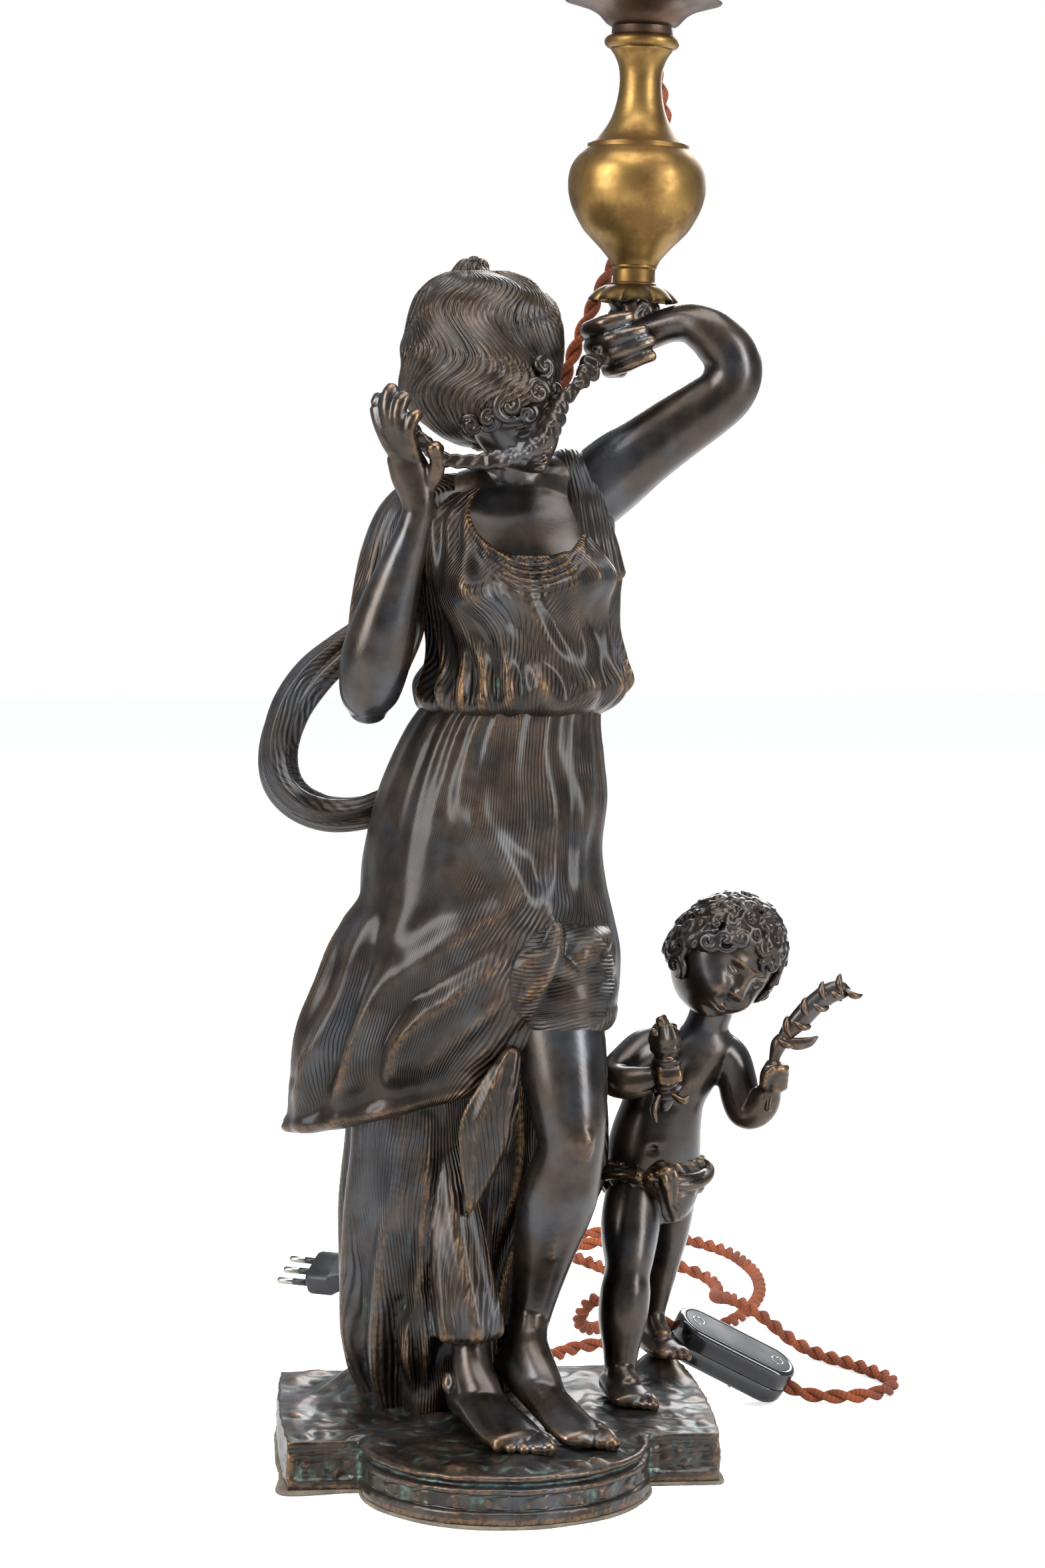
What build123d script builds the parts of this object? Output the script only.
"""Figural table lamp: a bronze woman and a cherub on a shaped plinth, holding up a brass lamp stem.

Millimetres, +Z up.  The origin is the centre of the plinth's felt underside, the front is -Y and
the woman's raised arm is towards +X.  Heights in the figure tables are above the plinth's top.
"""
from build123d import *
import math
import os

os.makedirs("parts", exist_ok=True)

# ---------------------------------------------------------------- driving dimensions

# plinth
PLINTH_WIDTH = 211.0
PLINTH_DEPTH = 140.0
PLINTH_BULGE_RADIUS = 68.0        # half round that swells out of the front
PLINTH_TOP = 25.0                 # height of the ground the figures stand on
PLINTH_WALL = 6.0
PLINTH_SIDE_SWELL = 3.0           # how far the end faces belly out
RIM_HEIGHT = 4.5                  # plain band under the top edge
FRIEZE_HEIGHT = 6.0               # sunk band of the moulding
MOULDING_STEP = 1.8
PANEL_DEPTH = 1.6                 # sunk panels on the straight front ends
PANEL_MARGIN = 5.0
FELT_THICKNESS = 1.6
FELT_PROUD = 0.8

# figure castings
FIGURE_HEIGHT = 551.0             # from the ground to the top of her hair
FIGURE_SIDES = 14
DRESS_SIDES = 28
LIMB_SIDES = 9

# fixing bolts, up through the plinth
BOLT_RADIUS = 3.0
BOLT_HEAD_RADIUS = 5.0
BOLT_HEAD_HEIGHT = 4.0
BOLT_REACH = 18.0
BOLT_CLEARANCE = 0.3
WASHER_RADIUS = 8.0
WASHER_THICKNESS = 1.5
TURNED_SIDES = 36                 # of the stem's and the lampholder's turned pieces
HIDDEN_SIDES = 12                 # round pieces that nobody sees are drawn as polygons

# stem
STEM_X = 70.0
STEM_Y = 20.0
STEM_FOOT = 541.0                 # top of the socket, above the plinth's top
STEM_LEAN = 1.9                   # degrees, towards +X
SOCKET_RADIUS = 11.5
SOCKET_HEIGHT = 21.0
ROD_RADIUS = 5.0
ROD_CLEARANCE = 0.15
PETALS = 8
PETAL_RADIUS = 21.8
PETAL_DROOP = 7.0
PETAL_SHEET = 0.8
COLLAR_RADIUS = 10.6
COLLAR_HEIGHT = 9.6
VASE_FOOT_RADIUS = 11.2
VASE_RADIUS = 33.2
VASE_BELLY = 40.0                 # height of the widest ring above the vase's foot
VASE_HEIGHT = 57.6
SHOULDER_RADIUS = 24.6
SHOULDER_BEAD = 1.0
NECK_RADIUS = 10.0
NECK_HEIGHT = 45.6
NECK_TOP_RADIUS = 15.0
RING_RADIUS = 18.2
RING_TUBE = 3.2
BAND_RADIUS = 14.8
BAND_HEIGHT = 4.0
CUP_RADIUS = 38.0
CUP_HEIGHT = 13.0
CUP_WALL = 1.4
ROD_WALL = 1.5
ROD_GRIP = 7.0                    # length of tube inside the lampholder's cap
NUT_RADIUS = 8.5
NUT_HEIGHT = 5.0
BUSH_RADIUS = 7.5
BUSH_HEIGHT = 10.0                # lifts the lampholder clear of the cup

# lampholder
HOLDER_RADIUS = 20.0
HOLDER_CAP_HEIGHT = 16.0
HOLDER_SHELL_HEIGHT = 34.0
HOLDER_WALL = 1.6
THREAD_RADIUS = 13.3              # mouth for a 27 mm screw cap
THREAD_DEPTH = 24.0
SHADE_RING_RADIUS = 27.0
SHADE_RING_HEIGHT = 5.0
SHADE_RING_CLEARANCE = 0.1
CONTACT_RADIUS = 3.0
CONTACT_HEIGHT = 2.0              # depth of its pocket
CONTACT_SINK = 0.5                # below the mouth's floor
HOLDER_NECK_RADIUS = 8.5
HOLDER_NECK_HEIGHT = 5.0
SHADE_RING_DROP = 9.0             # from the lampholder's mouth down to the ring's foot
INSERT_CLEARANCE = 0.2
GLAND_RADIUS = 5.2
GLAND_LENGTH = 14.0
GLAND_DROP = 6.0                  # from the cap's rim down to the gland's middle
GLAND_INSET = 12.0                # from the stem's axis out to the gland's inner end

# cord
CORD_DIAMETER = 7.5
CORD_SIDES = 5
CORD_SEAT = 4.0                   # how deep a cord's end sits in a gland, switch or plug
CORD_CLEARANCE = 0.2
FLOOR_LIFT = 0.05                 # keeps the tube off the table

# in-line switch
SWITCH_CENTRE = (127.5, 81.5, 25.0)
SWITCH_PITCH = 28.0               # degrees, its right end down on the table
SWITCH_ROLL = 18.0                # degrees, its screwed face turned to the front
SWITCH_LENGTH = 68.0
SWITCH_WIDTH = 26.0
SWITCH_THICKNESS = 21.0
SWITCH_WALL = 2.0
SWITCH_FACE_EDGE = 3.0            # bevel round the screwed face
SWITCH_BACK_EDGE = 6.0            # bevel round the rocker's side
ROCKER_LENGTH = 20.0
ROCKER_WIDTH = 11.0
ROCKER_THICKNESS = 7.0
ROCKER_PROUD = 2.2
ROCKER_TURN = 12.0                # degrees either side of level
ROCKER_GAP = 0.4
PIVOT_RADIUS = 1.5
PIVOT_CLEARANCE = 0.05
PIVOT_REACH = 2.0                 # length of pin in each bearing
SCREW_SLOT = 0.8
SWITCH_SCREW_SPACING = 46.0
SWITCH_SCREW_RADIUS = 2.6
SWITCH_SCREW_SINK = 1.6
SCREW_CLEARANCE = 0.2
SCREW_SIDES = 12

# plug
PLUG_FACE = (-77.0, 352.0, 13.9)  # middle of the face that the pins stand on
PLUG_AIM = (-0.89, 0.456, 0.0)    # the way the pins point
PLUG_ACROSS = (0.40, 0.78, 0.48)  # along the row of pins
PLUG_WIDTH = 26.0
PLUG_HEIGHT = 15.0
PLUG_BLOCK = 16.0
PLUG_BEVEL = 3.0
PLUG_GRIP = 26.0
PLUG_GRIP_WIDTH = 17.0
PLUG_GRIP_HEIGHT = 12.0
PLUG_TAIL_WIDTH = 10.5
PLUG_RIBS = 4
PLUG_RIB_HEIGHT = 0.9
PIN_RADIUS = 2.0
PIN_PITCH = 9.5
PIN_SIDES = 10
PIN_LENGTH = 19.0
PIN_ROOT = 6.0
SLEEVE_LENGTH = 9.0
SLEEVE_WALL = 0.25


# ---------------------------------------------------------------- helpers

def skin(rings):
    """A closed solid of flat triangles between polygons that all have the same number of corners."""
    count = len(rings[0])
    outlines = [rings[0], rings[-1]]
    for lower, upper in zip(rings, rings[1:]):
        for k in range(count):
            n = (k + 1) % count
            outlines.append([lower[k], lower[n], upper[n]])
            outlines.append([lower[k], upper[n], upper[k]])
    return Solid(Shell([Face(Wire.make_polygon(outline, close=True)) for outline in outlines]))


def ring(spot, side, front, half_side, half_front, sides, shape=None):
    """Corners on an ellipse about a spot; shape gives a factor on its radius at each angle."""
    corners = []
    for k in range(sides):
        angle = 2 * math.pi * k / sides
        factor = shape(angle) if shape else 1.0
        corners.append(spot + side * (half_side * factor * math.cos(angle))
                       + front * (half_front * factor * math.sin(angle)))
    return corners


def drawn(value):
    """A length from the figure tables, which are drawn for a figure 551 mm tall."""
    return value * FIGURE_HEIGHT / 551


def upright(stations, sides=FIGURE_SIDES, shape=None, tilt=None):
    """A body of level rings; a station is height, x, y, half width, half depth.

    shape(angle, share) folds the wall, share running from 0 at the first station to 1 at the last.
    tilt(share) is the slope along X of the ring's plane.
    """
    rings = []
    for n, (height, x, y, half_width, half_depth) in enumerate(stations):
        share = n / (len(stations) - 1)
        fold = (lambda angle, share=share: shape(angle, share)) if shape else None
        slope = tilt(share) if tilt else 0.0
        side = Vector(1, 0, slope)
        rings.append(ring(Vector(drawn(x), drawn(y), PLINTH_TOP + drawn(height)), side, Vector(0, 1, 0),
                          drawn(half_width), drawn(half_depth), sides, fold))
    return skin(rings)


def limb(stations, front, sides=LIMB_SIDES, shape=None):
    """A limb along a path; a station is x, y, height, half width across and half width to the front."""
    spots = [Vector(drawn(x), drawn(y), PLINTH_TOP + drawn(height)) for x, y, height, _, _ in stations]
    rings = []
    for n, (_, _, _, half_side, half_front) in enumerate(stations):
        along = (spots[min(n + 1, len(spots) - 1)] - spots[max(n - 1, 0)]).normalized()
        side = Vector(*front).cross(along).normalized()
        face = along.cross(side).normalized()
        share = n / (len(stations) - 1)
        fold = (lambda angle, share=share: shape(angle, share)) if shape else None
        rings.append(ring(spots[n], side, face, drawn(half_side), drawn(half_front), sides, fold))
    return skin(rings)


def swell(angle, centre, width, height):
    """A smooth bump in a radius, for a breast, a knee or a fold."""
    turn = math.atan2(math.sin(angle - centre), math.cos(angle - centre))
    return height * math.exp(-(turn / width) ** 2)


def turned(place, *runs):
    """A turned piece about a place's Z axis, from straight runs between two points of radius and height.

    Each run starts where the last one ends.
    """
    edges = []
    for run in runs:
        edges.append(Edge.make_line(*[Vector(radius, 0, height) for radius, height in run]))
    start = edges[0] @ 0
    end = edges[-1] @ 1
    if (start - end).length > 1e-6:
        edges.append(Edge.make_line(end, start))
    return place * revolve(Face(Wire(edges)), Axis.Z)


def lathed(place, profile):
    """A turned piece about a place's Z axis as flat facets between level polygons.

    The closed profile is a list of radius and height, anticlockwise seen with the axis on its left.
    """
    corners = [(math.cos(turn), math.sin(turn))
               for turn in (2 * math.pi * n / TURNED_SIDES for n in range(TURNED_SIDES))]
    facets = []
    for (r0, h0), (r1, h1) in zip(profile, profile[1:] + profile[:1]):
        for (c0, s0), (c1, s1) in zip(corners, corners[1:] + corners[:1]):
            facets.append(Face(Wire.make_polygon([(r0 * c0, r0 * s0, h0), (r0 * c1, r0 * s1, h0),
                                                  (r1 * c1, r1 * s1, h1), (r1 * c0, r1 * s0, h1)])))
    return place * Solid(Shell(facets))


# ---------------------------------------------------------------- plinth

def plinth_plan(inset):
    """Plan of the plinth, drawn in by an inset: belly ends and a half round on its front."""
    half_x = PLINTH_WIDTH / 2 - inset
    half_y = PLINTH_DEPTH / 2 - inset
    corner_x = half_x - PLINTH_SIDE_SWELL
    edges = [Edge.make_three_point_arc((corner_x, -half_y), (half_x, 0), (corner_x, half_y)),
             Edge.make_line((corner_x, half_y), (-corner_x, half_y)),
             Edge.make_three_point_arc((-corner_x, half_y), (-half_x, 0), (-corner_x, -half_y)),
             Edge.make_line((-corner_x, -half_y), (corner_x, -half_y))]
    bulge = Pos(0, -PLINTH_DEPTH / 2) * Circle(PLINTH_BULGE_RADIUS - inset)
    return Sketch() + Face(Wire(edges)), bulge


def bulge_body():
    """The moulded front: rim, hollow, bead, sunk frieze, bead and foot, turned in one."""
    top = PLINTH_TOP
    radius = PLINTH_BULGE_RADIUS
    sunk = radius - MOULDING_STEP
    frieze_top = top - RIM_HEIGHT - 2 * MOULDING_STEP
    frieze_foot = frieze_top - FRIEZE_HEIGHT
    return turned(Pos(0, -PLINTH_DEPTH / 2, 0),
                  [(0, FELT_THICKNESS), (radius, FELT_THICKNESS)],
                  [(radius, FELT_THICKNESS), (radius, frieze_foot - MOULDING_STEP)],
                  [(radius, frieze_foot - MOULDING_STEP), (sunk, frieze_foot)],
                  [(sunk, frieze_foot), (sunk, frieze_top)],
                  [(sunk, frieze_top), (radius, frieze_top + MOULDING_STEP)],
                  [(radius, frieze_top + MOULDING_STEP), (sunk, top - RIM_HEIGHT)],
                  [(sunk, top - RIM_HEIGHT), (sunk, top - MOULDING_STEP)],
                  [(sunk, top - MOULDING_STEP), (sunk - MOULDING_STEP, top)],
                  [(sunk - MOULDING_STEP, top), (0, top)])


def ground_hump(x, y, half_width, half_depth, height):
    """A low hump of cast ground, wider at its foot."""
    rings = []
    for lift, share in ((-PLINTH_WALL / 2, 1.0), (height * 0.45, 0.82), (height * 0.85, 0.55), (height, 0.3)):
        rings.append(ring(Vector(x, y, PLINTH_TOP + lift), Vector(1, 0, 0), Vector(0, 1, 0),
                          half_width * share, half_depth * share, LIMB_SIDES))
    return skin(rings)


def make_plinth():
    """A hollow casting, open below, with sunk panels and humps of ground under the figures."""
    body, _ = plinth_plan(0)
    plinth = extrude(Pos(0, 0, FELT_THICKNESS) * body, PLINTH_TOP - FELT_THICKNESS) + bulge_body()
    inner, inner_bulge = plinth_plan(PLINTH_WALL)
    hollow = extrude(Pos(0, 0, FELT_THICKNESS) * (inner + inner_bulge),
                     PLINTH_TOP - PLINTH_WALL - FELT_THICKNESS)
    plinth -= hollow
    panel_foot = FELT_THICKNESS + PANEL_MARGIN
    panel_height = PLINTH_TOP - PANEL_MARGIN - panel_foot
    panel_start = PLINTH_BULGE_RADIUS + PANEL_MARGIN
    panel_width = PLINTH_WIDTH / 2 - PLINTH_SIDE_SWELL - PANEL_MARGIN - panel_start
    for side in (-1, 1):
        plinth -= (Pos(side * (panel_start + panel_width / 2), -PLINTH_DEPTH / 2,
                       panel_foot + panel_height / 2)
                   * Box(panel_width, 2 * PANEL_DEPTH, panel_height))
    plinth += ground_hump(DRAPE_HUMP[0], DRAPE_HUMP[1], *DRAPE_HUMP_SIZE)
    plinth += ground_hump(CHERUB_HUMP[0], CHERUB_HUMP[1], *CHERUB_HUMP_SIZE)
    for x, y in (WOMAN_BOLT, CHERUB_BOLT):
        plinth -= Pos(x, y, PLINTH_TOP) * Cylinder(BOLT_RADIUS + BOLT_CLEARANCE, 4 * PLINTH_WALL)
    return plinth


def make_felt():
    """Felt sheet cut to the plinth's plan."""
    body, bulge = plinth_plan(-FELT_PROUD)
    return extrude(body + bulge, FELT_THICKNESS)


def bolt_hole(spot):
    """The tapped hole that a fixing bolt goes up into."""
    return Pos(spot[0], spot[1], PLINTH_TOP + BOLT_REACH / 2) * Cylinder(BOLT_RADIUS, BOLT_REACH)


def make_bolt(spot):
    """Hexagon bolt from below, its head under a washer inside the hollow plinth."""
    seat = PLINTH_TOP - PLINTH_WALL - WASHER_THICKNESS
    head = Pos(spot[0], spot[1], seat - BOLT_HEAD_HEIGHT) * extrude(
        RegularPolygon(BOLT_HEAD_RADIUS, 6), BOLT_HEAD_HEIGHT)
    length = PLINTH_TOP + BOLT_REACH - seat
    shank = Pos(spot[0], spot[1], seat + length / 2) * Cylinder(BOLT_RADIUS, length)
    return head + shank


def make_washer(spot):
    """Washer between a bolt's head and the plinth."""
    ring_plan = RegularPolygon(WASHER_RADIUS, HIDDEN_SIDES) - RegularPolygon(
        BOLT_RADIUS + BOLT_CLEARANCE, HIDDEN_SIDES)
    return Pos(spot[0], spot[1], PLINTH_TOP - PLINTH_WALL - WASHER_THICKNESS) * extrude(
        ring_plan, WASHER_THICKNESS)


# ---------------------------------------------------------------- places on the ground

WOMAN_BOLT = (drawn(-38), drawn(-4))
CHERUB_BOLT = (drawn(62.5), drawn(3))
DRAPE_HUMP = (-PLINTH_WIDTH * 0.246, PLINTH_DEPTH * 0.129)
DRAPE_HUMP_SIZE = (PLINTH_WIDTH * 0.161, PLINTH_DEPTH * 0.286, drawn(13))
CHERUB_HUMP_HEIGHT = 9            # in the figure's own height, like its stations
CHERUB_HUMP = (PLINTH_WIDTH * 0.422, PLINTH_DEPTH * 0.343)
CHERUB_HUMP_SIZE = (PLINTH_WIDTH * 0.068, PLINTH_DEPTH * 0.154, drawn(CHERUB_HUMP_HEIGHT))


# ---------------------------------------------------------------- woman

SKIRT_FOLDS = 7
UNDERSKIRT_FOLDS = 7
DRAPE_SIDES = 7                   # sides of a roll of cloth laid on the dress


def skirt_fold(angle, share):
    """Pleats that deepen from the waist down to the hem."""
    return 1 + 0.075 * share ** 1.5 * math.cos(SKIRT_FOLDS * angle + 1.0)


def make_skirt():
    """The overskirt, swept out to the left and down to a slanting hem."""
    stations = [(346, 12, 2, 43, 34), (329, 5, 2, 48, 38), (306, 1, 1.5, 55, 44),
                (270, -5, 0, 59, 48), (246, -6.5, -3, 61.5, 49.5), (214, -9, -4, 69.5, 51),
                (186, -16, -2, 75, 49), (163, -24, 1, 78, 44), (153, -28, 2, 71, 38)]
    skirt = upright(stations, DRESS_SIDES, skirt_fold, lambda share: 0.32 * share ** 2)
    wrap = upright([(186, 29, -21, 25, 25), (198, 29, -21, 30, 31), (224, 28, -19, 30, 32),
                    (241, 27, -16, 24, 24)], FIGURE_SIDES)
    drapes = (
        [(20, -44, 230, 6, 6), (6, -51, 217, 9, 8.5), (-16, -53, 200, 9, 8.5), (-38, -45, 181, 8, 7.5),
         (-57, -36, 168, 5, 5)],
        [(24, -42, 246, 4, 4), (4, -49, 240, 6.5, 6.5), (-18, -50, 226, 7, 7), (-42, -42, 204, 6.5, 6),
         (-60, -32, 186, 4, 4)],
        [(-50, -30, 216, 4, 4), (-63, -32, 190, 7, 7), (-74, -30, 166, 7, 7), (-82, -27, 152, 4, 4)],
        [(-30, -44, 202, 4, 4), (-46, -42, 182, 6.5, 6.5), (-56, -40, 158, 6.5, 6.5), (-60, -38, 146, 4, 4)],
        [(-64, -22, 222, 4, 4), (-74, -21, 196, 8, 8), (-87, -18, 170, 8, 8), (-97, -13, 150, 5, 5)],
        [(0, -46, 208, 6, 6), (13, -52, 217, 9, 9), (28, -48, 224, 10, 10), (43, -36, 229, 8, 8),
         (50, -18, 232, 5, 5)])
    for drape in drapes:
        skirt += limb(drape, front=(0, 1, 0), sides=DRAPE_SIDES)
    return skirt + wrap


def underskirt_fold(angle, share):
    """Long flutes that run down to the ground."""
    return 1 + 0.09 * min(1.0, 0.3 + share) * math.cos(UNDERSKIRT_FOLDS * angle)


def make_underskirt():
    """The under-drapery, hanging from inside the skirt to the ground behind the feet."""
    stations = [(170, -28, 2, 40, 35), (140, -32, 2, 40, 37), (105, -37, 2, 38, 39),
                (62, -38, 2, 37, 39), (24, -35.5, 5, 35.5, 38), (0, -34, 7, 29, 35)]
    falls = ([(-20, -37, 168, 7, 7), (-19, -42, 128, 9, 8), (-17, -41, 84, 7, 6)],
             [(-47, -28, 160, 6, 6), (-56, -28, 84, 8, 8), (-56, -22, 14, 6, 6)],
             [(-30, -33, 60, 6, 5), (-33, -37, 24, 9, 8), (-34, -38, 0, 11, 9)])
    drapery = upright(stations, DRESS_SIDES - 7, underskirt_fold)
    for fall in falls:
        drapery += limb(fall, front=(0, 1, 0), sides=DRAPE_SIDES)
    return drapery


def make_rear_drapery():
    """The lined back of the dress, seen to the right of the bare leg and between the legs."""
    stations = [(178, 22, 22, 34, 16), (137, 25, 20, 33, 13), (100, 21, 20, 34, 13),
                (66, 8, 21, 25, 13), (0, 2, 24, 16, 12)]
    return upright(stations, DRESS_SIDES - 7, underskirt_fold)


def bosom(angle, share):
    """The bosom on the front of the bodice and a shallow hollow down the back."""
    rise = math.exp(-((share - 0.42) / 0.16) ** 2)
    front = swell(angle, math.radians(-122), 0.36, 0.16) + swell(angle, math.radians(-58), 0.36, 0.16)
    return 1 + rise * front - 0.05 * swell(angle, math.radians(90), 0.3, 1.0)


def make_bodice():
    """Blouse, shoulders and neck, with the blouse's overhang at the waist."""
    stations = [(334, 9, 2, 40, 31), (341, 11, 2, 45, 36), (356, 15.5, 2, 46.5, 36.5),
                (378, 14.5, 2, 45.5, 34), (394, 13, 2, 48.5, 34), (411, 11, 3.5, 50.5, 33.5),
                (431, 10.5, 6, 50, 28), (440, 12, 8, 41, 23), (447, 13, 8, 27, 18),
                (455, 12.5, 5, 16.5, 15), (472, 8, -1, 14, 14)]
    return upright(stations, FIGURE_SIDES + 4, bosom)


def hair_wave(angle, share):
    """Soft waves of the put-up hair."""
    return 1 + 0.02 * math.cos(7 * angle + 9 * share) * (1 if share > 0.35 else 0)


def make_head():
    """Head bowed forward, with thick waved hair put up and a knot on the crown."""
    stations = [(462, 6, -6, 12, 12), (470, 2, -8, 27, 29), (479, -4, -7, 34, 35.5),
                (490, -6.5, -6, 37.5, 38.5), (506, -6, -4.5, 37.5, 40),
                (520, -3.5, -3, 35.5, 38), (532, -4, -1, 30, 32.5), (542, -7, 1, 16, 18)]
    crown_knot = upright([(534, -8, 6, 12, 12), (545, -8, 6, 11, 11), (551, -8, 6, 7, 7)], 10)
    face = limb([(16.8, -15.4, 453.8, 5, 6), (14.9, -17.1, 459.4, 12, 13), (11, -20.4, 470.7, 20, 22),
                 (7.5, -25, 482.5, 23.5, 25), (5.2, -30.7, 492.8, 21, 22)], front=(0.5, -0.8, -0.33), sides=12)
    curls = limb([(-13, -38, 474, 4, 4), (-2, -44, 482, 5.5, 5.5), (12, -44, 494, 6, 6), (22, -36, 506, 6, 6),
                  (30, -24, 500, 5.5, 5.5), (29, -24, 484, 5.5, 5.5), (26, -22, 473, 4, 4)],
                 front=(0, 1, 0), sides=DRAPE_SIDES)
    return upright(stations, FIGURE_SIDES + 4, hair_wave) + crown_knot + face + curls


def make_raised_arm():
    """The arm raised towards the stem, bent at the elbow, with its fist round the socket."""
    arm = limb([(42, 10, 432, 18, 18), (59, 10, 448, 17.5, 17), (92, 7.5, 467, 15.5, 15),
                (109, 5, 483, 15, 15), (116, 3, 497, 14.5, 14.5), (111, 2, 510, 12.5, 13),
                (98, 4, 519, 11, 11.5), (82, 10, 520, 9, 9.5), (68, 15, 512, 8, 8.5)], front=(0, 1, 0))
    fist = upright([(496, 62, 13, 8, 8), (501, 63, 13, 14, 13), (508, 64, 14, 17, 16),
                    (518, 65, 15, 17, 16), (526, 66, 16, 14.5, 14), (531, 66, 17, 11, 11)], LIMB_SIDES)
    return arm + fist


def make_lowered_sleeve():
    """Upper arm under its draped sleeve, from the shoulder down to the elbow."""
    return limb([(-26, 8, 438, 12, 14), (-38, 7, 428, 17, 20), (-44, 5, 411, 18, 22),
                 (-48, 2, 393, 17.5, 22), (-52, -3, 375, 16.5, 20), (-55, -8, 359, 12, 15)],
                front=(0, 1, 0), shape=lambda angle, share: 1 + 0.06 * math.cos(6 * angle))


def make_lowered_forearm():
    """Forearm from the elbow up to the hand that draws the garland to the face."""
    return limb([(-62, -21, 338, 8, 9), (-61, -24, 347, 14, 14), (-58, -29, 362, 17, 16),
                 (-53, -34, 382, 15.5, 14.5), (-47, -38, 402, 11.5, 11), (-41, -41, 419, 8.7, 8.7),
                 (-38, -43, 432, 7.4, 7.2), (-39, -44, 442, 8.5, 7.4), (-43, -45, 455, 8.8, 6),
                 (-47, -46, 468, 7.5, 5), (-50, -46, 479, 5, 4), (-50, -45, 487, 2.5, 2.5)],
                front=(0, 1, 0))


def make_bare_leg():
    """The bare leg from under the tucked dress, knee bent, down to a raised heel and the toes."""
    leg = limb([(27, -20, 208, 23, 23), (30.5, -32, 177, 22.5, 22), (33, -40, 150, 18.5, 20),
                (34, -42, 134, 16.3, 18), (32, -41, 124, 17.3, 17), (28.5, -36, 110, 19.3, 18),
                (23, -30, 84, 16, 16.5), (17, -26, 53, 11, 12), (10, -31, 30, 9, 10)], front=(0, 1, 0))
    foot = limb([(4, -21, 25, 6, 6), (6, -27, 25, 9, 9.5), (11, -40, 24, 10.3, 11.5), (18, -57, 18, 11, 9.5),
                 (27, -77, 10.5, 12.3, 7), (34, -93, 5.3, 12.3, 5), (38, -104, 3.2, 9, 3)],
                front=(0, 0, 1))
    return leg + foot


def make_standing_foot():
    """The other foot, flat on the ground, with its ankle going up into the drapery."""
    ankle = limb([(-18, -24, 84, 12, 12), (-16, -31, 66, 11.3, 12), (-14.5, -37, 50, 10.5, 11.5),
                  (-13, -41, 36, 10.3, 12), (-13, -43, 24, 11, 13)], front=(0, 1, 0))
    foot = limb([(-17, -28, 8.5, 7, 7), (-16, -35, 10, 10, 9.5), (-13, -50, 14, 12, 12),
                 (-7, -70, 11, 14.5, 10), (0, -90, 7.5, 16, 7), (6, -105, 5, 14.5, 4.8),
                 (9, -114, 3.2, 9, 3)], front=(0, 0, 1))
    return ankle + foot


def make_scarf():
    """The blown scarf: a folded band that loops out from the elbow and back to the hip."""
    stations = [(-60, 8, 374, 7, 9), (-77, 9, 363, 9, 9), (-92, 11, 350, 10, 9), (-100.5, 12, 335, 9.5, 8.5),
                (-104, 13, 319, 9.5, 8.5), (-101, 13, 304, 9.5, 8.5), (-92, 13, 293, 9, 8.5),
                (-79, 13, 287.5, 8.5, 8.5), (-65, 13, 289, 8, 9), (-50, 12, 296, 8, 9)]
    return limb(stations, front=(0, 1, 0), shape=lambda angle, share: 1 + 0.1 * math.cos(3 * angle))


def make_garland():
    """A knotty rope of leaves from the raised fist, under the chin, to the other hand."""
    points = [(52, 0, 509), (45, -18, 501), (38, -33, 494), (30, -43, 486), (25, -49, 476),
              (19.5, -53, 467), (10, -55, 461), (-1, -55.5, 457.5), (-12.5, -54.5, 456.5),
              (-24, -52.5, 457.5), (-31.5, -50.5, 461), (-38, -50, 468)]
    stations = []
    for n, (x, y, height) in enumerate(points):
        radius = 4.4 if n % 2 else 3.4
        stations.append((x, y, height, radius, radius))
    return limb(stations, front=(0, 1, 0), sides=8)


# ---------------------------------------------------------------- cherub

def make_cherub_body():
    """Round-bellied torso with the neck."""
    return upright([(88, 82, 32, 20, 17), (97, 82, 32, 24.5, 20), (117, 82, 30, 23.5, 20.5),
                    (140, 86, 27, 20.5, 19), (156, 94, 26, 22, 17.5), (166, 99.5, 25, 25, 16.5),
                    (173, 103, 24, 20, 14), (178, 106, 23, 12, 11), (185, 109, 22, 10, 10)],
                   FIGURE_SIDES)


def curl(angle, share):
    """Close curls over the top and sides of the head."""
    if share < 0.45:
        return 1.0
    return 1 + 0.035 * math.cos(8 * angle + 12 * share)


def make_cherub_head():
    """A child's head, turned and tipped towards the garland, thick with curls."""
    return upright([(178, 107, 12, 6, 7), (182, 108.5, 13, 13, 14), (189, 111, 16, 19.5, 20),
                    (198, 114.5, 19, 25, 25), (208, 116.5, 20, 28, 27), (218, 117.5, 21, 29, 28),
                    (228, 118, 22, 27, 26), (236, 118, 23, 21, 21), (242, 118, 23, 12, 12)],
                   FIGURE_SIDES + 4, curl)


def make_cherub_raised_arm():
    """The arm that holds the flower stem away from the body."""
    return limb([(112, 24, 170, 9, 10), (119, 24, 163, 10.5, 10.5), (123, 23, 152, 10, 10),
                 (125, 21, 142, 10, 10), (129, 17, 138, 9, 9), (134, 12, 143, 8, 8),
                 (137, 9, 150, 6.2, 6.2), (138, 8, 157, 6.5, 6), (138, 8, 163, 4.5, 4.5)],
                front=(0, 1, 0), sides=10)


def make_cherub_bent_arm():
    """The arm behind the woman's leg that brings a bud to the chest."""
    return limb([(84, 22, 170, 8, 9), (76, 20, 170, 10, 10.5), (68, 15, 165, 9.5, 10),
                 (61, 9, 160, 9, 9), (60, 2, 157, 8.5, 8.5), (68, -3, 156, 8, 8),
                 (77, -4, 158, 6.7, 7), (82, -4, 161, 5.8, 6)], front=(0, 0, 1), sides=10)


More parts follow.
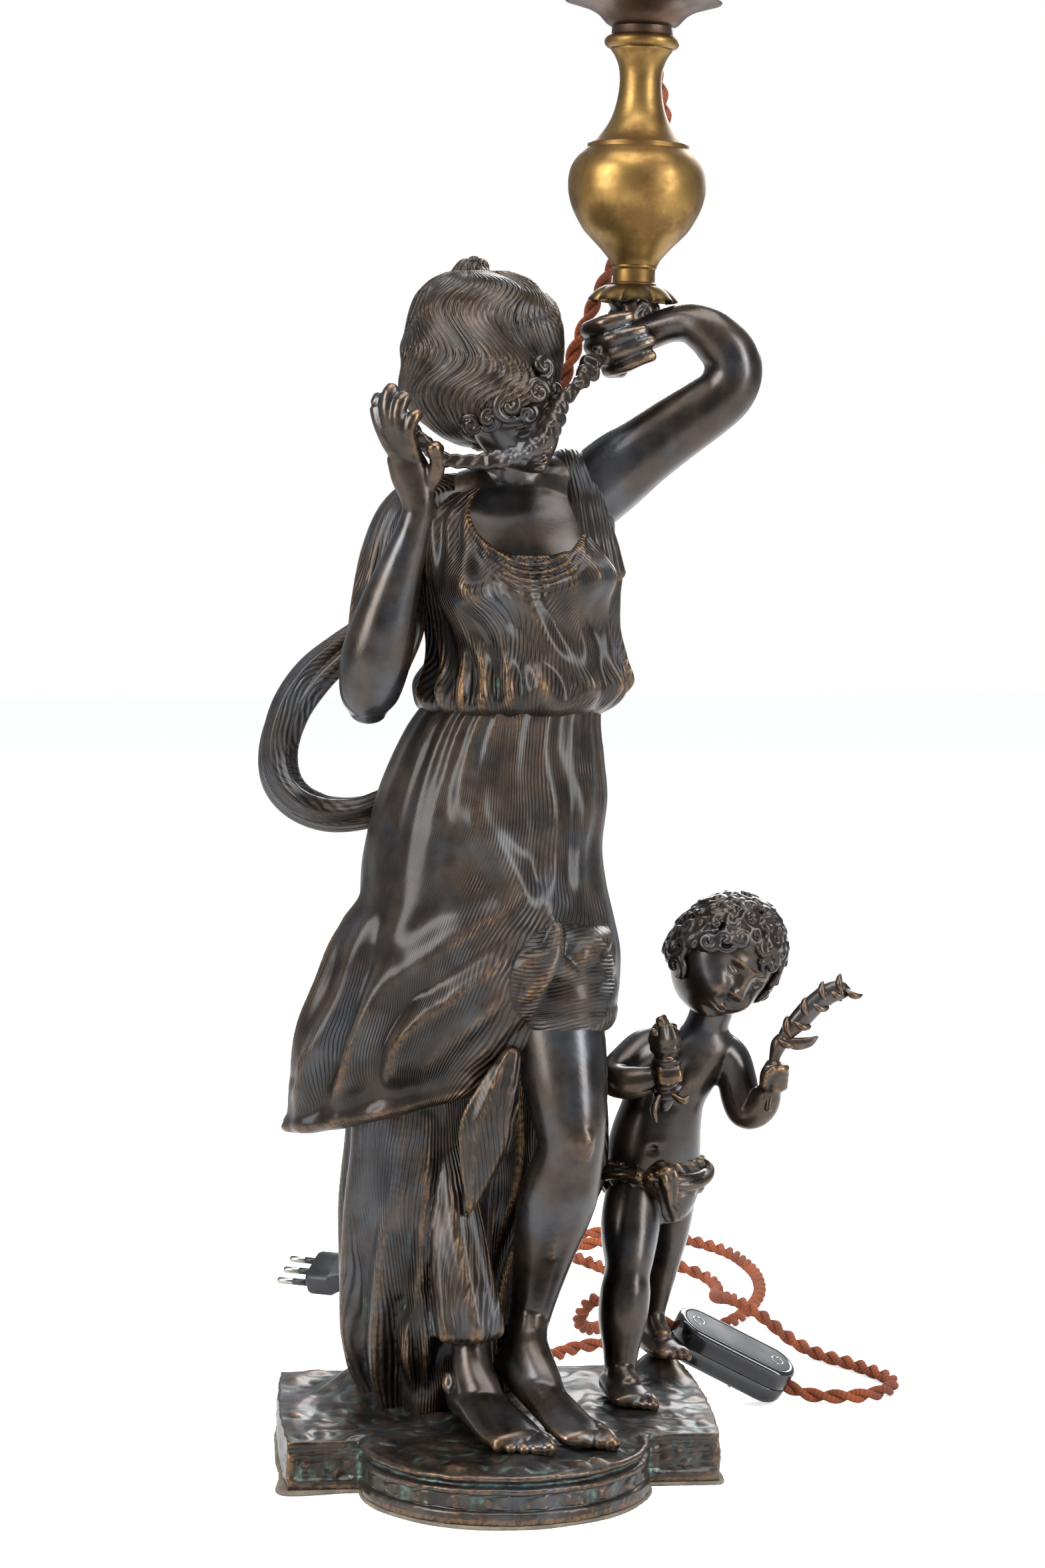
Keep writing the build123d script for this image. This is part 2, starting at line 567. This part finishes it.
def make_cherub_front_leg():
    """The leg nearer the viewer, set forward."""
    leg = limb([(72, 24, 98, 14, 15), (68.5, 14, 79, 14.5, 14.5), (67.5, 8, 65, 12, 12.7),
                (64.5, 4, 45, 12.3, 12.3), (63, 2.3, 23, 8.9, 9.8), (62.3, 1, 10, 8.5, 9.5)],
               front=(0, 1, 0))
    foot = limb([(60.5, 11, 5.5, 5, 5), (60.8, 6, 7, 8.5, 7), (62.5, -6, 7, 10, 7),
                 (65.5, -18, 4.6, 11, 4.6), (67.5, -27, 2.8, 8, 2.6)], front=(0, 0, 1), sides=10)
    return leg + foot


def make_cherub_rear_leg():
    """The leg behind, its foot on the raised ground."""
    rise = CHERUB_HUMP_HEIGHT
    leg = limb([(91, 34, 98, 13.5, 14), (91, 43, 74, 11, 12.5), (87.5, 53, 50, 8.6, 10),
                (85.5, 58, rise + 25, 6.7, 7.7), (85, 59, rise + 11, 6.5, 7.5)], front=(0, 1, 0))
    foot = limb([(81.5, 67, rise + 5, 4.5, 4.5), (82.5, 63, rise + 6.5, 7, 6.5),
                 (86, 53, rise + 6, 8.5, 6), (90.5, 43, rise + 4, 9.5, 4),
                 (94, 36, rise + 2.4, 7, 2.4)], front=(0, 0, 1), sides=10)
    return leg + foot


def make_loincloth():
    """A rolled cloth round the hips with a hanging knot in front."""
    band = upright([(98, 82, 31.5, 26, 22), (103, 82, 31, 27.5, 23.5), (110, 82, 30.5, 27, 23.5),
                    (115, 82, 30, 25, 22)], DRESS_SIDES - 12,
                   lambda angle, share: 1 + 0.02 * math.cos(9 * angle))
    knot = limb([(84, 8, 110, 4, 3), (85, 6, 104, 5, 3.6), (86.5, 6.5, 97, 4, 3), (89, 8, 91, 2.5, 2)],
                front=(0, 1, 0), sides=8)
    return band + knot


def make_flower_stem():
    """Stem, calyx and open flower in the raised hand."""
    return limb([(136.5, 8, 146, 2.2, 2.2), (138.3, 8, 166, 2.6, 2.6), (140.5, 8, 171, 4.5, 4.5),
                 (144, 8, 176, 3.6, 3.6), (153, 8, 185, 6.6, 5.8), (161, 8, 194, 6, 5.5),
                 (166, 8, 200, 7.2, 6), (175, 8, 198.5, 3.5, 3.5)], front=(0, 1, 0), sides=10,
                shape=lambda angle, share: 1 + 0.08 * math.cos(5 * angle))


def make_bud():
    """The bud on a knobbed stalk, held upright at the chest."""
    return upright([(147, 83, -7, 3, 3), (151, 84, -7, 6.5, 5.5), (158, 84.5, -8, 7, 6),
                    (165, 84, -8, 7.3, 6.3), (171, 83.5, -8, 6.3, 5.6), (176, 83, -8, 8, 7),
                    (182, 82.5, -8, 7.6, 7), (186, 82.5, -8, 4, 4)], 10)


# ---------------------------------------------------------------- stem

STEM = Pos(STEM_X, STEM_Y, PLINTH_TOP + STEM_FOOT) * Rot(0, STEM_LEAN, 0)
BORE = ROD_RADIUS + ROD_CLEARANCE
VASE_FOOT = PETAL_SHEET + COLLAR_HEIGHT
NECK_FOOT = VASE_FOOT + VASE_HEIGHT
RING_FOOT = NECK_FOOT + NECK_HEIGHT
BAND_FOOT = RING_FOOT + 2 * RING_TUBE
CUP_FOOT = BAND_FOOT + BAND_HEIGHT
BUSH_FOOT = CUP_FOOT + CUP_WALL + NUT_HEIGHT
HOLDER_FOOT = BUSH_FOOT + BUSH_HEIGHT
SHELL_FOOT = HOLDER_FOOT + HOLDER_CAP_HEIGHT
HOLDER_TOP = SHELL_FOOT + HOLDER_SHELL_HEIGHT


def make_socket():
    """Cast socket in the fist that the threaded tube screws into, lumpy where it was soldered."""
    rings = []
    for share, factor in ((0, 0.8), (0.25, 0.95), (0.5, 0.9), (0.75, 1.06), (0.9, 1.0), (1, 0.85)):
        lump = (lambda angle, share=share: 1 + 0.07 * math.cos(3 * angle + 7 * share))
        spot = Vector(0, 0, -SOCKET_HEIGHT * (1 - share))
        rings.append(ring(spot, Vector(1, 0, 0), Vector(0, 1, 0), SOCKET_RADIUS * factor,
                          SOCKET_RADIUS * factor, LIMB_SIDES, lump))
    bore = Pos(0, 0, -SOCKET_HEIGHT / 4) * Cylinder(ROD_RADIUS, SOCKET_HEIGHT / 2)
    return STEM * (skin(rings) - bore)


def make_rod():
    """Threaded tube from the socket up to the lampholder, with the bore of its kind."""
    foot = -SOCKET_HEIGHT / 2
    top = HOLDER_FOOT + ROD_GRIP
    plan = RegularPolygon(ROD_RADIUS, HIDDEN_SIDES) - RegularPolygon(ROD_RADIUS - ROD_WALL, HIDDEN_SIDES)
    return STEM * Pos(0, 0, foot) * extrude(plan, top - foot)


def petal_edge(angle, share):
    """Scalloped outline of the petals, fullest at the rim and plain at the middle."""
    return 1 - 0.22 * share * (1 - abs(math.cos(PETALS * angle / 2)) ** 0.6)


def petal_rings(drop):
    """Rings of the drooping leaf cup, lowered by a thickness."""
    rings = []
    for share in (0.0, 0.5, 1.0):
        radius = PETAL_RADIUS - (PETAL_RADIUS - COLLAR_RADIUS) * share
        height = PETAL_SHEET - drop - PETAL_DROOP * (1 - share) ** 1.4
        rings.append(ring(Vector(0, 0, height), Vector(1, 0, 0), Vector(0, 1, 0), radius, radius,
                          4 * PETALS, lambda angle, share=share: petal_edge(angle, 1 - share)))
    return rings


def make_petal_cup():
    """Thin scalloped cup of petals turned down over the socket, clamped at its middle."""
    cup = skin(petal_rings(0)) - skin(petal_rings(PETAL_SHEET))
    bore = Cylinder(BORE, 4 * PETAL_SHEET)
    return STEM * (cup - bore)


def make_collar():
    """Plain collar between the petals and the vase."""
    plan = Circle(COLLAR_RADIUS) - Circle(BORE)
    return STEM * Pos(0, 0, PETAL_SHEET) * extrude(plan, COLLAR_HEIGHT)


def make_vase():
    """Egg-shaped body, widest above its middle, with a stepped shoulder."""
    foot = VASE_FOOT
    belly = foot + VASE_BELLY
    top = NECK_FOOT
    step = top - SHOULDER_BEAD
    low = (VASE_FOOT_RADIUS + (VASE_RADIUS - VASE_FOOT_RADIUS) * 0.45, foot + VASE_BELLY * 0.3)
    high = (VASE_FOOT_RADIUS + (VASE_RADIUS - VASE_FOOT_RADIUS) * 0.86, foot + VASE_BELLY * 0.7)
    upper = (VASE_RADIUS - (VASE_RADIUS - SHOULDER_RADIUS) * 0.3, belly + (step - belly) * 0.55)
    return lathed(STEM, [(BORE, foot), (VASE_FOOT_RADIUS, foot), low, high, (VASE_RADIUS, belly), upper,
                         (SHOULDER_RADIUS, step), (SHOULDER_RADIUS, top), (BORE, top)])


def make_vase_neck():
    """Neck that sweeps in above the shoulder and flares to carry the ring."""
    foot_radius = SHOULDER_RADIUS - 2 * SHOULDER_BEAD
    waist = NECK_FOOT + NECK_HEIGHT * 0.66
    low = (NECK_RADIUS + (foot_radius - NECK_RADIUS) * 0.35, NECK_FOOT + NECK_HEIGHT * 0.2)
    flare = (NECK_RADIUS + (NECK_TOP_RADIUS - NECK_RADIUS) * 0.3, waist + NECK_HEIGHT * 0.22)
    return lathed(STEM, [(BORE, NECK_FOOT), (foot_radius, NECK_FOOT), low, (NECK_RADIUS, waist), flare,
                         (NECK_TOP_RADIUS, RING_FOOT), (BORE, RING_FOOT)])


def make_neck_ring():
    """Bold edge ring at the top of the neck."""
    seat = RING_RADIUS - RING_TUBE
    middle = RING_FOOT + RING_TUBE
    return lathed(STEM, [(BORE, RING_FOOT), (seat, RING_FOOT), (RING_RADIUS, middle), (seat, BAND_FOOT),
                         (BORE, BAND_FOOT)])


def make_drip_cup():
    """Spun cup with a plain band under it, flaring to a rolled rim."""
    rim = CUP_FOOT + CUP_HEIGHT
    inner = CUP_FOOT + CUP_WALL
    mid = (BAND_RADIUS + (CUP_RADIUS - BAND_RADIUS) * 0.44, CUP_FOOT + CUP_HEIGHT * 0.62)
    inner_mid = (mid[0] - CUP_WALL * 0.7, mid[1] + CUP_WALL * 0.8)
    return lathed(STEM, [(BORE, BAND_FOOT), (BAND_RADIUS, BAND_FOOT), (BAND_RADIUS, CUP_FOOT), mid,
                         (CUP_RADIUS, rim), (CUP_RADIUS - CUP_WALL, rim), inner_mid,
                         (BAND_RADIUS - CUP_WALL, inner), (BORE, inner)])


def make_nut():
    """Hexagon nut that clamps the stem together inside the cup."""
    plan = RegularPolygon(NUT_RADIUS, 6) - Circle(BORE)
    return STEM * Pos(0, 0, CUP_FOOT + CUP_WALL) * extrude(plan, NUT_HEIGHT)


def make_bush():
    """Six-sided spacer on the tube between the nut and the lampholder."""
    plan = RegularPolygon(BUSH_RADIUS, 6) - Circle(BORE)
    return STEM * Pos(0, 0, BUSH_FOOT) * extrude(plan, BUSH_HEIGHT)


# ---------------------------------------------------------------- lampholder

def make_holder_cap():
    """Coned cap of the lampholder, gripping the tube, with a side hole for the cord."""
    inside = HOLDER_RADIUS - 2 * HOLDER_WALL
    neck = HOLDER_FOOT + HOLDER_NECK_HEIGHT
    throat = HOLDER_NECK_RADIUS - HOLDER_WALL
    cap = lathed(STEM, [(ROD_RADIUS, HOLDER_FOOT), (HOLDER_NECK_RADIUS, HOLDER_FOOT),
                        (HOLDER_NECK_RADIUS, neck), (HOLDER_RADIUS, SHELL_FOOT), (inside, SHELL_FOOT),
                        (throat, neck + HOLDER_WALL), (ROD_RADIUS, neck + HOLDER_WALL)])
    return cap - gland_solid(GLAND_RADIUS)


def gland_place():
    """Middle of the cord outlet in the back of the lampholder's cap, facing backwards."""
    height = SHELL_FOOT - GLAND_DROP
    return STEM * Pos(0, GLAND_INSET, height) * Rot(-90, 0, 0)


def gland_solid(radius):
    """The gland's outer form, also used to cut its hole."""
    return gland_place() * Cylinder(radius, GLAND_LENGTH, align=(Align.CENTER, Align.CENTER, Align.MIN))


def make_gland():
    """Moulded grip that the cord comes out of."""
    mouth = gland_place() * Pos(0, 0, GLAND_LENGTH - CORD_SEAT) * Cylinder(
        CORD_RADIUS + CORD_CLEARANCE, CORD_SEAT, align=(Align.CENTER, Align.CENTER, Align.MIN))
    return gland_solid(GLAND_RADIUS) - mouth


def make_holder_shell():
    """Straight shell with a coarse outer thread for the shade ring, left plain here."""
    plan = Circle(HOLDER_RADIUS) - Circle(HOLDER_RADIUS - HOLDER_WALL)
    return STEM * Pos(0, 0, SHELL_FOOT) * extrude(plan, HOLDER_SHELL_HEIGHT)


def make_holder_insert():
    """Ceramic insert whose mouth takes the bulb's screw cap."""
    outer = HOLDER_RADIUS - HOLDER_WALL - INSERT_CLEARANCE
    insert = Pos(0, 0, SHELL_FOOT) * extrude(Circle(outer), HOLDER_SHELL_HEIGHT)
    mouth = Pos(0, 0, HOLDER_TOP - THREAD_DEPTH) * extrude(Circle(THREAD_RADIUS), THREAD_DEPTH)
    pocket = Pos(0, 0, HOLDER_TOP - THREAD_DEPTH - CONTACT_HEIGHT) * extrude(
        Circle(CONTACT_RADIUS), CONTACT_HEIGHT)
    return STEM * (insert - mouth - pocket)


def make_centre_contact():
    """Sprung contact for the bulb's tip, in a pocket in the mouth's floor."""
    foot = HOLDER_TOP - THREAD_DEPTH - CONTACT_HEIGHT
    return STEM * Pos(0, 0, foot) * extrude(Circle(CONTACT_RADIUS), CONTACT_HEIGHT - CONTACT_SINK)


def make_shade_ring():
    """Screwed ring that clamps a shade on the shell."""
    plan = Circle(SHADE_RING_RADIUS) - Circle(HOLDER_RADIUS + SHADE_RING_CLEARANCE)
    return STEM * Pos(0, 0, HOLDER_TOP - SHADE_RING_DROP) * extrude(plan, SHADE_RING_HEIGHT)


# ---------------------------------------------------------------- cord, switch and plug

CORD_RADIUS = CORD_DIAMETER / 2
FLOOR = CORD_RADIUS + FLOOR_LIFT


def cord_radii(points):
    """Arc radius at each inner corner: 0.45 of the shorter run over the tangent of half the turn."""
    radii = []
    for before, corner, after in zip(points, points[1:], points[2:]):
        turn = math.radians((corner - before).get_angle(after - corner))
        shorter = min((corner - before).length, (after - corner).length)
        radii.append(0.45 * shorter / math.tan(turn / 2))
    return radii


def make_cord(name, points):
    """A tube along straight runs joined by tangent arcs; prints its radii, length and volume."""
    corners = [Vector(*point) for point in points]
    radii = cord_radii(corners)
    path = FilletPolyline(*corners, radius=radii)
    start = Plane(origin=corners[0], z_dir=corners[1] - corners[0])
    tube = sweep(start * RegularPolygon(CORD_RADIUS, CORD_SIDES), path=path)
    section = RegularPolygon(CORD_RADIUS, CORD_SIDES).area
    length = path.length
    print(name, "length", round(length), "mm, least radius", round(min(radii), 1), "mm, volume over section",
          round(tube.volume / (section * length), 4))
    print("  radii", [round(radius) for radius in radii])
    return tube


SWITCH = Pos(*SWITCH_CENTRE) * Rot(0, SWITCH_PITCH, 0) * Rot(SWITCH_ROLL, 0, 0)


def cord_mouth(end):
    """The hole that a cord's end sits in, at the left (-1) or right (1) end of the switch."""
    depth = Cylinder(CORD_RADIUS + CORD_CLEARANCE, 2 * CORD_SEAT)
    return Pos(end * SWITCH_LENGTH / 2, 0, 0) * Rot(0, 90, 0) * depth


def cord_end(end, distance):
    """A point on the switch's long axis, a distance outside its seat at one end."""
    place = SWITCH * Pos(end * (SWITCH_LENGTH / 2 - CORD_SEAT + distance), 0, 0)
    return tuple(place.position)


def switch_half(face, edge):
    """One half of the long round-ended case, face 1 for the screwed half and -1 for the rocker's."""
    half = SWITCH_THICKNESS / 2
    plan = SlotOverall(SWITCH_LENGTH, SWITCH_WIDTH)
    block = extrude(plan, face * half)
    outer = block.edges().filter_by(lambda e: abs(e.center().Z - face * half) < 1e-3)
    block = chamfer(outer, edge)
    for end in (-1, 1):
        block -= cord_mouth(end)
    return block


def make_switch_upper():
    """The screwed half, with two sunk screw seats and no marks."""
    half = switch_half(1, SWITCH_FACE_EDGE)
    for side in (-1, 1):
        seat = Pos(side * SWITCH_SCREW_SPACING / 2, 0, SWITCH_THICKNESS / 2 - SWITCH_SCREW_SINK)
        half -= seat * extrude(RegularPolygon(SWITCH_SCREW_RADIUS + SCREW_CLEARANCE, SCREW_SIDES),
                               SWITCH_SCREW_SINK)
    return SWITCH * half


def rocker_hole(grow):
    """The window in the lower half that the rocker swings in."""
    depth = SWITCH_THICKNESS / 2 - SWITCH_WALL
    window = Box(ROCKER_LENGTH + 2 * grow, ROCKER_WIDTH + 2 * grow, depth,
                 align=(Align.CENTER, Align.CENTER, Align.MIN))
    return Pos(0, 0, -SWITCH_THICKNESS / 2) * window


ROCKER_PIVOT = -SWITCH_THICKNESS / 2 + ROCKER_THICKNESS - ROCKER_PROUD - PIVOT_RADIUS


def make_switch_lower():
    """The half with the rocker's window and the two bearings for its pin."""
    half = switch_half(-1, SWITCH_BACK_EDGE) - rocker_hole(ROCKER_GAP)
    bearing = Cylinder(PIVOT_RADIUS + PIVOT_CLEARANCE, ROCKER_WIDTH + 2 * PIVOT_REACH + 2 * ROCKER_GAP)
    half -= Pos(0, 0, ROCKER_PIVOT) * Rot(90, 0, 0) * bearing
    return SWITCH * half


def make_rocker():
    """Rocker with a shallow V of two faces and the pin it tips on, at rest on one side."""
    half = ROCKER_LENGTH / 2 - 0.5
    low = -PIVOT_RADIUS - ROCKER_PROUD
    lift = half * math.tan(math.radians(ROCKER_TURN))
    outline = Polyline((-half, low - lift * 0.45), (0, low + lift * 0.2), (half, low - lift * 0.45),
                       (half * 0.8, PIVOT_RADIUS), (-half * 0.8, PIVOT_RADIUS), close=True)
    paddle = Pos(0, (ROCKER_WIDTH) / 2, 0) * Rot(90, 0, 0) * extrude(make_face(outline), ROCKER_WIDTH)
    pin = Rot(90, 0, 0) * Cylinder(PIVOT_RADIUS, ROCKER_WIDTH + 2 * PIVOT_REACH)
    return SWITCH * Pos(0, 0, ROCKER_PIVOT) * Rot(0, ROCKER_TURN, 0) * (paddle + pin)


def make_switch_screws():
    """Two slotted screw heads at the bottom of their seats."""
    top = SWITCH_THICKNESS / 2
    screws = []
    for side in (-1, 1):
        seat = Pos(side * SWITCH_SCREW_SPACING / 2, 0, top - SWITCH_SCREW_SINK)
        head = seat * extrude(RegularPolygon(SWITCH_SCREW_RADIUS, SCREW_SIDES), SWITCH_SCREW_SINK / 2)
        slot = seat * Pos(0, 0, SWITCH_SCREW_SINK / 2) * Box(3 * SWITCH_SCREW_RADIUS, SCREW_SLOT, SCREW_SLOT)
        screws.append(SWITCH * (head - slot))
    return Compound(children=screws)


PLUG = Location(Plane(origin=PLUG_FACE, x_dir=PLUG_ACROSS, z_dir=PLUG_AIM))


def plug_tail(distance):
    """A point on the plug's axis, a distance behind the cord's seat in its grip."""
    place = PLUG * Pos(0, 0, -PLUG_BLOCK - PLUG_GRIP + CORD_SEAT - distance)
    return tuple(place.position)


def make_plug():
    """Moulded body: a bevelled block for the pins, then a ribbed grip that tapers to the cord."""
    def slab(width, height, depth):
        corner = min(PLUG_BEVEL, height / 3)
        x, y = width / 2, height / 2
        plan = [(x, corner - y), (x, y - corner), (x - corner, y), (corner - x, y),
                (-x, y - corner), (-x, corner - y), (corner - x, -y), (x - corner, -y)]
        return [Vector(px, py, -depth) for px, py in plan]
    rings = [slab(PLUG_WIDTH, PLUG_HEIGHT, 0), slab(PLUG_WIDTH, PLUG_HEIGHT, PLUG_BLOCK),
             slab(PLUG_GRIP_WIDTH + 2, PLUG_GRIP_HEIGHT + 1, PLUG_BLOCK + 3)]
    for n in range(PLUG_RIBS):
        share = n / PLUG_RIBS
        width = PLUG_GRIP_WIDTH + (PLUG_TAIL_WIDTH - PLUG_GRIP_WIDTH) * share
        height = PLUG_GRIP_HEIGHT + (PLUG_TAIL_WIDTH - PLUG_GRIP_HEIGHT) * share
        pitch = (PLUG_GRIP - 5) / PLUG_RIBS
        start = PLUG_BLOCK + 4 + n * pitch
        rings.append(slab(width, height, start))
        rings.append(slab(width, height, start + pitch * 0.3))
        rings.append(slab(width + 2 * PLUG_RIB_HEIGHT, height + 2 * PLUG_RIB_HEIGHT, start + pitch * 0.45))
        rings.append(slab(width + 2 * PLUG_RIB_HEIGHT, height + 2 * PLUG_RIB_HEIGHT, start + pitch * 0.85))
    rings.append(slab(PLUG_TAIL_WIDTH, PLUG_TAIL_WIDTH, PLUG_BLOCK + PLUG_GRIP))
    body = skin(rings)
    body -= Pos(0, 0, -PLUG_BLOCK - PLUG_GRIP) * Cylinder(
        CORD_RADIUS + CORD_CLEARANCE, CORD_SEAT, align=(Align.CENTER, Align.CENTER, Align.MIN))
    for k in (-1, 0, 1):
        seat = RegularPolygon(PIN_RADIUS - SLEEVE_WALL, PIN_SIDES)
        body -= Pos(k * PIN_PITCH, 0, -PIN_ROOT) * extrude(seat, PIN_ROOT)
    return PLUG * body


def make_plug_pins():
    """Three pins in line, waisted under their sleeves."""
    waist = RegularPolygon(PIN_RADIUS - SLEEVE_WALL, PIN_SIDES)
    full = RegularPolygon(PIN_RADIUS, PIN_SIDES)
    pin = Pos(0, 0, -PIN_ROOT) * extrude(waist, PIN_ROOT + SLEEVE_LENGTH)
    pin += Pos(0, 0, SLEEVE_LENGTH) * extrude(full, PIN_LENGTH - SLEEVE_LENGTH)
    return Compound(children=[PLUG * Pos(k * PIN_PITCH, 0, 0) * pin for k in (-1, 0, 1)])


def make_plug_sleeves():
    """Insulating sleeves on the roots of the pins."""
    plan = RegularPolygon(PIN_RADIUS, PIN_SIDES) - RegularPolygon(PIN_RADIUS - SLEEVE_WALL, PIN_SIDES)
    return Compound(children=[PLUG * Pos(k * PIN_PITCH, 0, 0) * extrude(plan, SLEEVE_LENGTH)
                              for k in (-1, 0, 1)])


def upper_route():
    """From the lampholder down behind her back and over the table to the switch's left end."""
    outlet = gland_place() * Pos(0, 0, GLAND_LENGTH - CORD_SEAT)
    beyond = gland_place() * Pos(0, 0, GLAND_LENGTH + 15)
    return [tuple(outlet.position), tuple(beyond.position),
            (80, 84, 700), (90, 84, 672), (93, 68, 636), (80, 59, 604), (60, 57, 572), (41, 54, 528),
            (22, 59, 466), (5, 57, 390), (-4, 68, 296), (1, 76, 206),
            (8, 92, 118), (16, 112, 50), (27, 140, 14), (41, 172, FLOOR),
            (64, 201, FLOOR), (98, 208, FLOOR), (134, 221, FLOOR), (161, 262, FLOOR),
            (180, 316, FLOOR), (186, 376, FLOOR), (178, 438, FLOOR), (151, 484, FLOOR),
            (112, 502, FLOOR), (76, 488, FLOOR), (71, 450, FLOOR), (91, 412, FLOOR),
            (107, 366, FLOOR), (108, 310, 5), (101, 262, 10), (92, 222, 19), (82, 194, 20),
            (66, 164, 20), (54, 134, 32), (60, 103, 53), cord_end(-1, 24), cord_end(-1, 0)]


def lower_route():
    """From the switch's right end round the front and back behind the lamp to the plug."""
    return [cord_end(1, 0), cord_end(1, 15), (190, 75, FLOOR), (211, 85, FLOOR),
            (219, 108, FLOOR), (207, 140, FLOOR), (182, 180, FLOOR), (162, 218, 17), (152, 246, 18),
            (148, 288, 9), (157, 330, FLOOR), (156, 366, FLOOR), (134, 391, 8), (110, 401, 18),
            (88, 402, 18), (58, 392, 8), (35, 372, FLOOR), (21, 341, 5), (0, 326, 9),
            plug_tail(22), plug_tail(0)]


# ---------------------------------------------------------------- all pieces

def trimmed(piece, *others):
    """A casting cut back to its neighbours; slivers beyond its largest solid are dropped."""
    for other in others:
        piece = piece - other
    return max(piece.solids(), key=lambda solid: solid.volume)


def build():
    """Every sub-part by name."""
    parts = {}
    plinth = make_plinth()
    bolts = [bolt_hole(WOMAN_BOLT), bolt_hole(CHERUB_BOLT)]

    skirt = make_skirt()
    underskirt = trimmed(make_underskirt(), skirt, plinth, bolts[0])
    rear = trimmed(make_rear_drapery(), skirt, underskirt, plinth)
    bodice = trimmed(make_bodice(), skirt)
    socket = make_socket()
    head = trimmed(make_head(), bodice)
    raised = trimmed(make_raised_arm(), bodice, socket)
    sleeve = trimmed(make_lowered_sleeve(), bodice)
    forearm = trimmed(make_lowered_forearm(), sleeve, bodice)
    leg = trimmed(make_bare_leg(), skirt, underskirt, rear, plinth)
    foot = trimmed(make_standing_foot(), underskirt, rear, leg, plinth)
    scarf = trimmed(make_scarf(), skirt, sleeve, forearm, bodice)
    garland = trimmed(make_garland(), raised, forearm, head)

    body = trimmed(make_cherub_body(), leg)
    front_leg = trimmed(make_cherub_front_leg(), body, plinth, bolts[1])
    rear_leg = trimmed(make_cherub_rear_leg(), body, front_leg, plinth)
    cloth = trimmed(make_loincloth(), body, front_leg, rear_leg, leg, rear)
    cherub_head = trimmed(make_cherub_head(), body)
    lifted = trimmed(make_cherub_raised_arm(), body, cherub_head)
    bud = make_bud()
    bent = trimmed(make_cherub_bent_arm(), body, cherub_head, bud, leg)
    flower = trimmed(make_flower_stem(), lifted)

    parts["plinth"] = plinth
    parts["felt_pad"] = make_felt()
    parts["figure_bolt"] = make_bolt(WOMAN_BOLT)
    parts["figure_washer"] = make_washer(WOMAN_BOLT)
    parts["cherub_bolt"] = make_bolt(CHERUB_BOLT)
    parts["cherub_washer"] = make_washer(CHERUB_BOLT)
    parts["woman_skirt"] = skirt
    parts["woman_underskirt"] = underskirt
    parts["woman_rear_drapery"] = rear
    parts["woman_bodice"] = bodice
    parts["woman_head"] = head
    parts["woman_raised_arm"] = raised
    parts["woman_sleeve"] = sleeve
    parts["woman_forearm"] = forearm
    parts["woman_bare_leg"] = leg
    parts["woman_standing_foot"] = foot
    parts["scarf_loop"] = scarf
    parts["garland"] = garland
    parts["cherub_body"] = body
    parts["cherub_head"] = cherub_head
    parts["cherub_raised_arm"] = lifted
    parts["cherub_bent_arm"] = bent
    parts["cherub_front_leg"] = front_leg
    parts["cherub_rear_leg"] = rear_leg
    parts["cherub_loincloth"] = cloth
    parts["cherub_flower"] = flower
    parts["cherub_bud"] = bud
    parts["stem_socket"] = socket
    parts["stem_tube"] = make_rod()
    parts["petal_cup"] = make_petal_cup()
    parts["stem_collar"] = make_collar()
    parts["stem_vase"] = make_vase()
    parts["stem_neck"] = make_vase_neck()
    parts["stem_ring"] = make_neck_ring()
    parts["drip_cup"] = make_drip_cup()
    parts["cup_nut"] = make_nut()
    parts["stem_bush"] = make_bush()
    parts["holder_cap"] = make_holder_cap()
    parts["holder_shell"] = make_holder_shell()
    parts["holder_insert"] = make_holder_insert()
    parts["holder_contact"] = make_centre_contact()
    parts["shade_ring"] = make_shade_ring()
    parts["cord_gland"] = make_gland()
    parts["cord_upper"] = make_cord("cord_upper", upper_route())
    parts["cord_lower"] = make_cord("cord_lower", lower_route())
    parts["switch_upper"] = make_switch_upper()
    parts["switch_lower"] = make_switch_lower()
    parts["switch_rocker"] = make_rocker()
    parts["switch_screws"] = make_switch_screws()
    parts["plug_body"] = make_plug()
    parts["plug_pins"] = make_plug_pins()
    parts["plug_sleeves"] = make_plug_sleeves()
    return parts


for name, piece in build().items():
    export_step(piece, f"parts/{name}.step")
